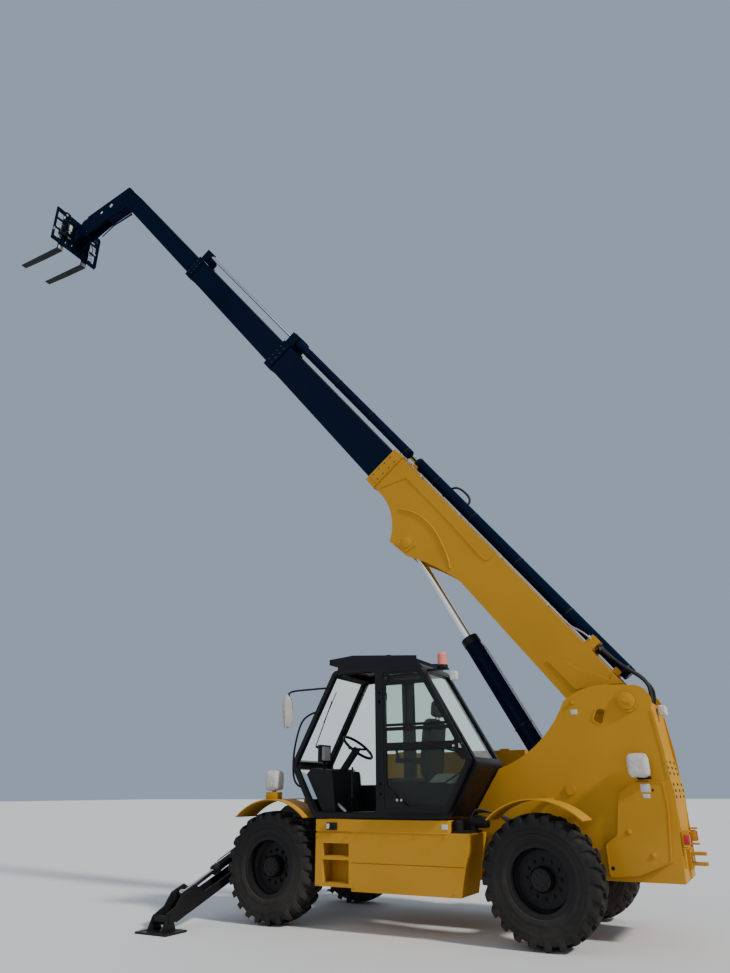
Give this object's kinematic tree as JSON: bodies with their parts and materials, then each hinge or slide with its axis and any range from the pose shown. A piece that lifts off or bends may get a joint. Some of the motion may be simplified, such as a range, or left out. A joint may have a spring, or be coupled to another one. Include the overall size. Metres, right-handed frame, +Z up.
{
  "type": "telehandler",
  "caption": "Telehandler with telescopic boom raised and drawn out, fork carriage, side cab with its door open, steered wheels and front stabilisers set down.",
  "frame": {"origin": "on the ground, at the centre of the base of the whole machine's box", "axes": "+X forward towards the fork tips, +Y to the machine's left (cab side), +Z up"},
  "size_m": [12.4352, 3.9, 13.6864],
  "materials": {
    "yellow": "satin",
    "navy": "satin",
    "dark": "satin",
    "rod": "polished",
    "tyre": "matte",
    "glass": "clear",
    "plastic": "matte",
    "lamp": "gloss",
    "hose": "matte",
    "seat": "matte",
    "iron": "matte"
  },
  "bodies": {
    "chassis": {"chassis_frame": "yellow", "boom_tower": "yellow", "counterweight": "yellow", "side_tank": "yellow", "step_box": "dark", "engine_hood": "yellow", "engine_block": "iron", "front_axle": "yellow", "rear_axle": "yellow", "fenders": "plastic", "cab_frame": "navy", "cab_floor": "dark", "cab_roof": "dark", "cab_glass": "glass", "seat": "seat", "console": "plastic", "lamps": "lamp", "mirrors": "plastic", "hydraulic_unit": "plastic", "tow_hitch": "dark", "pivot_hoses": "hose"},
    "engine_lid": {"engine_lid": "yellow"},
    "cab_door": {"cab_door": "navy", "door_glass": "glass"},
    "boom_base": {"boom_base": "yellow", "telescope_barrel": "navy"},
    "boom_second": {"boom_second": "navy", "telescope_rod": "rod", "upper_barrel": "navy"},
    "boom_third": {"boom_third": "navy", "upper_rod": "rod"},
    "boom_fourth": {"boom_fourth": "navy"},
    "tilt_barrel": {"tilt_barrel": "navy"},
    "tilt_rod": {"tilt_rod": "rod"},
    "carriage": {"carriage": "navy", "forks": "dark"},
    "lift_barrel": {"lift_barrel": "navy"},
    "lift_rod": {"lift_rod": "rod"},
    "knuckle_front_left": {"knuckle_front_left": "dark"},
    "wheel_front_left": {"rim_front_left": "navy", "tyre_front_left": "tyre"},
    "knuckle_front_right": {"knuckle_front_right": "dark"},
    "wheel_front_right": {"rim_front_right": "navy", "tyre_front_right": "tyre"},
    "knuckle_rear_left": {"knuckle_rear_left": "dark"},
    "wheel_rear_left": {"rim_rear_left": "navy", "tyre_rear_left": "tyre"},
    "knuckle_rear_right": {"knuckle_rear_right": "dark"},
    "wheel_rear_right": {"rim_rear_right": "navy", "tyre_rear_right": "tyre"},
    "leg_left": {"leg_left": "yellow"},
    "foot_left": {"foot_left": "yellow"},
    "jack_barrel_left": {"jack_barrel_left": "navy"},
    "jack_rod_left": {"jack_rod_left": "rod"},
    "leg_right": {"leg_right": "yellow"},
    "foot_right": {"foot_right": "yellow"},
    "jack_barrel_right": {"jack_barrel_right": "navy"},
    "jack_rod_right": {"jack_rod_right": "rod"}
  },
  "joints": [
    {"name": "boom_lift", "type": "hinge", "parent": "chassis", "child": "boom_base", "pos_m": [-5.77765, 0, 2.06], "axis": [0, -1, 0], "range_deg": [-55.3, 12.7], "deforming": ["pivot_hoses"]},
    {"name": "telescope_second", "type": "slide", "parent": "boom_base", "child": "boom_second", "axis": [0.6115, 0, 0.7912], "range_m": [-2.85, 0]},
    {"name": "telescope_third", "type": "slide", "parent": "boom_second", "child": "boom_third", "axis": [0.6115, 0, 0.7912], "range_m": [-2.85, 0]},
    {"name": "telescope_fourth", "type": "slide", "parent": "boom_third", "child": "boom_fourth", "axis": [0.6115, 0, 0.7912], "range_m": [-2.85, 0]},
    {"name": "lift_swing", "type": "hinge", "parent": "chassis", "child": "lift_barrel", "pos_m": [-5.13765, 0, 0.937], "axis": [0, -1, 0], "range_deg": [-51.2, 12]},
    {"name": "lift_extend", "type": "slide", "parent": "lift_barrel", "child": "lift_rod", "axis": [0.4836, 0, 0.8753], "range_m": [-1.21, 0.28]},
    {"name": "carriage_tilt", "type": "hinge", "parent": "boom_fourth", "child": "carriage", "pos_m": [4.56627, 0, 13.02329], "axis": [0, -1, 0], "range_deg": [-60, 68]},
    {"name": "tilt_swing", "type": "hinge", "parent": "boom_fourth", "child": "tilt_barrel", "pos_m": [3.43404, 0, 13.29172], "axis": [0, -1, 0], "range_deg": [-5, 5]},
    {"name": "tilt_extend", "type": "slide", "parent": "tilt_barrel", "child": "tilt_rod", "axis": [1, 0, 0.004], "range_m": [-0.26, 0.23]},
    {"name": "steer_front_left", "type": "hinge", "parent": "chassis", "child": "knuckle_front_left", "pos_m": [-2.02765, 0.7, 0.5375], "axis": [0, 0, 1], "range_deg": [-25, 25]},
    {"name": "spin_front_left", "type": "hinge", "parent": "knuckle_front_left", "child": "wheel_front_left", "pos_m": [-2.02765, 0.895, 0.5375], "axis": [0, 1, 0], "continuous": true},
    {"name": "steer_front_right", "type": "hinge", "parent": "chassis", "child": "knuckle_front_right", "pos_m": [-2.02765, -0.7, 0.5375], "axis": [0, 0, 1], "range_deg": [-25, 25]},
    {"name": "spin_front_right", "type": "hinge", "parent": "knuckle_front_right", "child": "wheel_front_right", "pos_m": [-2.02765, -0.895, 0.5375], "axis": [0, 1, 0], "continuous": true},
    {"name": "steer_rear_left", "type": "hinge", "parent": "chassis", "child": "knuckle_rear_left", "pos_m": [-4.92765, 0.7, 0.5375], "axis": [0, 0, 1], "range_deg": [-25, 25]},
    {"name": "spin_rear_left", "type": "hinge", "parent": "knuckle_rear_left", "child": "wheel_rear_left", "pos_m": [-4.92765, 0.895, 0.5375], "axis": [0, 1, 0], "continuous": true},
    {"name": "steer_rear_right", "type": "hinge", "parent": "chassis", "child": "knuckle_rear_right", "pos_m": [-4.92765, -0.7, 0.5375], "axis": [0, 0, 1], "range_deg": [-25, 25]},
    {"name": "spin_rear_right", "type": "hinge", "parent": "knuckle_rear_right", "child": "wheel_rear_right", "pos_m": [-4.92765, -0.895, 0.5375], "axis": [0, 1, 0], "continuous": true},
    {"name": "leg_swing_left", "type": "hinge", "parent": "chassis", "child": "leg_left", "pos_m": [-1.31765, 0.3, 0.62], "axis": [1, 0, 0], "range_deg": [0, 80]},
    {"name": "jack_swing_left", "type": "hinge", "parent": "chassis", "child": "jack_barrel_left", "pos_m": [-1.31765, 0.22, 0.8], "axis": [1, 0, 0], "range_deg": [0, 78]},
    {"name": "jack_extend_left", "type": "slide", "parent": "jack_barrel_left", "child": "jack_rod_left", "axis": [0, 0.9359, -0.3523], "range_m": [-0.27, 0]},
    {"name": "foot_tilt_left", "type": "hinge", "parent": "leg_left", "child": "foot_left", "pos_m": [-1.31765, 1.8, 0.11], "axis": [1, 0, 0], "range_deg": [-15, 15]},
    {"name": "leg_swing_right", "type": "hinge", "parent": "chassis", "child": "leg_right", "pos_m": [-1.31765, -0.3, 0.62], "axis": [-1, 0, 0], "range_deg": [0, 80]},
    {"name": "jack_swing_right", "type": "hinge", "parent": "chassis", "child": "jack_barrel_right", "pos_m": [-1.31765, -0.22, 0.8], "axis": [-1, 0, 0], "range_deg": [0, 78]},
    {"name": "jack_extend_right", "type": "slide", "parent": "jack_barrel_right", "child": "jack_rod_right", "axis": [0, -0.9359, -0.3523], "range_m": [-0.27, 0]},
    {"name": "foot_tilt_right", "type": "hinge", "parent": "leg_right", "child": "foot_right", "pos_m": [-1.31765, -1.8, 0.11], "axis": [-1, 0, 0], "range_deg": [-15, 15]},
    {"name": "door_open", "type": "hinge", "parent": "chassis", "child": "cab_door", "pos_m": [-3.34765, 1.018, 1.7], "axis": [0, 0, 1], "range_deg": [-180, 0]},
    {"name": "lid_open", "type": "hinge", "parent": "chassis", "child": "engine_lid", "pos_m": [-3.56265, -0.473, 1.7], "axis": [-1, 0, 0], "range_deg": [0, 60]}
  ],
  "couplings": [
    {"joint": "telescope_third", "follows": "telescope_second", "ratio": 1},
    {"joint": "telescope_fourth", "follows": "telescope_second", "ratio": 1},
    {"joint": "lift_swing", "follows": "boom_lift", "ratio": 0.92},
    {"joint": "lift_extend", "follows": "boom_lift", "m_per_rad": 1.24},
    {"joint": "tilt_swing", "follows": "carriage_tilt", "ratio": 0.04725},
    {"joint": "tilt_extend", "follows": "carriage_tilt", "m_per_rad": -0.20777},
    {"joint": "steer_front_right", "follows": "steer_front_left", "ratio": 1},
    {"joint": "steer_rear_right", "follows": "steer_rear_left", "ratio": 1},
    {"joint": "jack_swing_left", "follows": "leg_swing_left", "ratio": 0.96531},
    {"joint": "jack_extend_left", "follows": "leg_swing_left", "m_per_rad": -0.19187},
    {"joint": "jack_swing_right", "follows": "leg_swing_right", "ratio": 0.96531},
    {"joint": "jack_extend_right", "follows": "leg_swing_right", "m_per_rad": -0.19187}
  ]
}
